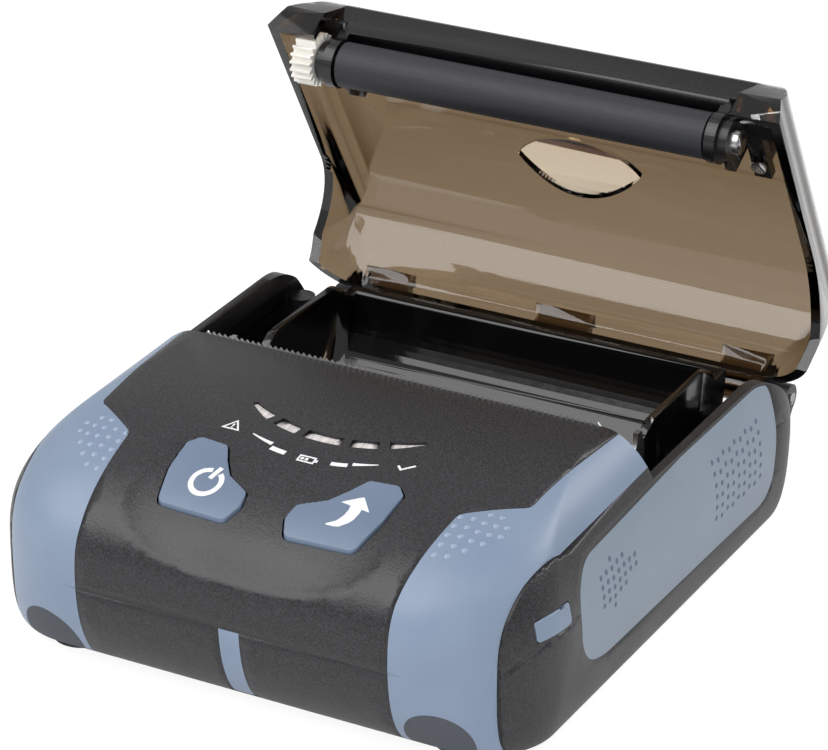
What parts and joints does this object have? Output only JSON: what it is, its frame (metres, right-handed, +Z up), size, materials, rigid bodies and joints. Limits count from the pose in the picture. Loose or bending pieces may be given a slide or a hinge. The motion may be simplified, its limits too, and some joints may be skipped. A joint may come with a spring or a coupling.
{
  "type": "portable receipt printer",
  "caption": "Portable receipt printer with an open smoked cover that carries the platen, a paper bay, a tear bar and a control panel with keys and lamps",
  "frame": {"origin": "on the table, under the middle of the printer's footprint with its cover open", "axes": "+X to the right seen from the control panel, +Y from the control panel to the hinge, +Z up"},
  "size_m": [0.1166, 0.1482, 0.0895],
  "materials": {
    "black_shell": "finely textured moulding",
    "black_gloss": "polished moulding",
    "smoked_clear": "smoked see-through moulding",
    "clear_window": "clear moulding",
    "blue_grey_rubber": "soft satin overmoulding",
    "blue_grey_key": "satin moulding",
    "status_light": "frosted light guide",
    "lamp_white": "small lamp bodies",
    "foot_rubber": "moulded rubber",
    "tear_steel": "stamped strip",
    "plate_steel": "stamped sheet",
    "pin_steel": "turned steel",
    "white_gear": "moulded gears",
    "white_bushing": "low-friction moulding",
    "platen_rubber": "ground rubber sleeve",
    "head_ceramic": "glazed strip",
    "sink_aluminium": "extruded bar",
    "motor_can": "plated can",
    "board_green": "coated circuit board",
    "switch_black": "moulded",
    "socket_steel": "folded shell",
    "battery_plastic": "moulded case"
  },
  "bodies": {
    "base": {"battery_contacts": "plate_steel", "battery_pack": "battery_plastic", "board_screws": "pin_steel", "case_screws": "pin_steel", "foot_front_left": "foot_rubber", "foot_front_right": "foot_rubber", "foot_rear_left": "foot_rubber", "foot_rear_right": "foot_rubber", "front_strip": "blue_grey_rubber", "gear_stubs": "pin_steel", "head_pin": "pin_steel", "hinge_pin": "pin_steel", "lower_casing": "black_shell", "main_board": "board_green", "paper_sensor": "switch_black", "paper_tray": "black_gloss", "port_socket": "socket_steel", "side_pad_left": "blue_grey_rubber", "side_pad_right": "blue_grey_rubber", "side_plate_left": "plate_steel", "side_plate_right": "plate_steel", "status_lamps": "lamp_white", "status_windows": "status_light", "stepper_motor": "motor_can", "tact_switches": "switch_black", "tear_bar": "tear_steel", "trim_lower_left": "blue_grey_rubber", "trim_lower_right": "blue_grey_rubber", "trim_upper_left": "blue_grey_rubber", "trim_upper_right": "blue_grey_rubber", "upper_casing": "black_shell"},
    "cover": {"cover": "smoked_clear", "cover_window": "clear_window", "platen_frame": "black_gloss", "frame_screws": "pin_steel", "platen_bushings": "white_bushing"},
    "platen": {"platen_roller": "platen_rubber", "platen_shaft": "pin_steel", "platen_gear": "white_gear"},
    "motor_drive": {"motor_pinion": "white_gear", "motor_shaft": "pin_steel"},
    "idler": {"idler_gear": "white_gear"},
    "drive": {"drive_gear": "white_gear"},
    "power_key": {"power_button": "blue_grey_key"},
    "feed_key": {"feed_button": "blue_grey_key"},
    "flap": {"port_flap": "blue_grey_rubber"},
    "latch": {"battery_latch": "battery_plastic"},
    "head": {"head_bracket": "plate_steel", "heat_sink": "sink_aluminium", "print_head": "head_ceramic", "head_springs": "pin_steel"}
  },
  "joints": [
    {"name": "cover_hinge", "type": "hinge", "parent": "base", "child": "cover", "pos_m": [0, 0.0589, 0.0192], "axis": [1, 0, 0], "range_deg": [0, 60]},
    {"name": "platen_spin", "type": "hinge", "parent": "cover", "child": "platen", "pos_m": [0, 0.04146, 0.0798], "axis": [1, 0, 0], "continuous": true},
    {"name": "motor_spin", "type": "hinge", "parent": "base", "child": "motor_drive", "pos_m": [0, -0.0259, 0.0223], "axis": [1, 0, 0], "continuous": true},
    {"name": "idler_spin", "type": "hinge", "parent": "base", "child": "idler", "pos_m": [0, -0.0176, 0.0188], "axis": [1, 0, 0], "continuous": true},
    {"name": "drive_spin", "type": "hinge", "parent": "base", "child": "drive", "pos_m": [0, -0.0088, 0.0255], "axis": [1, 0, 0], "continuous": true},
    {"name": "power_press", "type": "slide", "parent": "base", "child": "power_key", "axis": [0, 0, -1], "range_m": [0, 0.0006], "stiffness_N_per_m": 1500, "springref_m": -0.0003},
    {"name": "feed_press", "type": "slide", "parent": "base", "child": "feed_key", "axis": [0, 0, -1], "range_m": [0, 0.0006], "stiffness_N_per_m": 1500, "springref_m": -0.0003},
    {"name": "flap_hinge", "type": "hinge", "parent": "base", "child": "flap", "pos_m": [0.0565, -0.0557, 0.0241], "axis": [0.198, 0.9802, 0], "range_deg": [0, 90]},
    {"name": "latch_slide", "type": "slide", "parent": "base", "child": "latch", "axis": [0, 1, 0], "range_m": [0, 0.0025], "stiffness_N_per_m": 300, "springref_m": -0.001},
    {"name": "head_tilt", "type": "hinge", "parent": "base", "child": "head", "pos_m": [0, -0.0097, 0.022], "axis": [1, 0, 0], "range_deg": [0, 2.5], "stiffness_Nm_per_rad": 0.6, "springref_deg": -5.73}
  ],
  "couplings": [
    {"joint": "motor_spin", "follows": "idler_spin", "ratio": -2},
    {"joint": "drive_spin", "follows": "idler_spin", "ratio": -1.2}
  ]
}
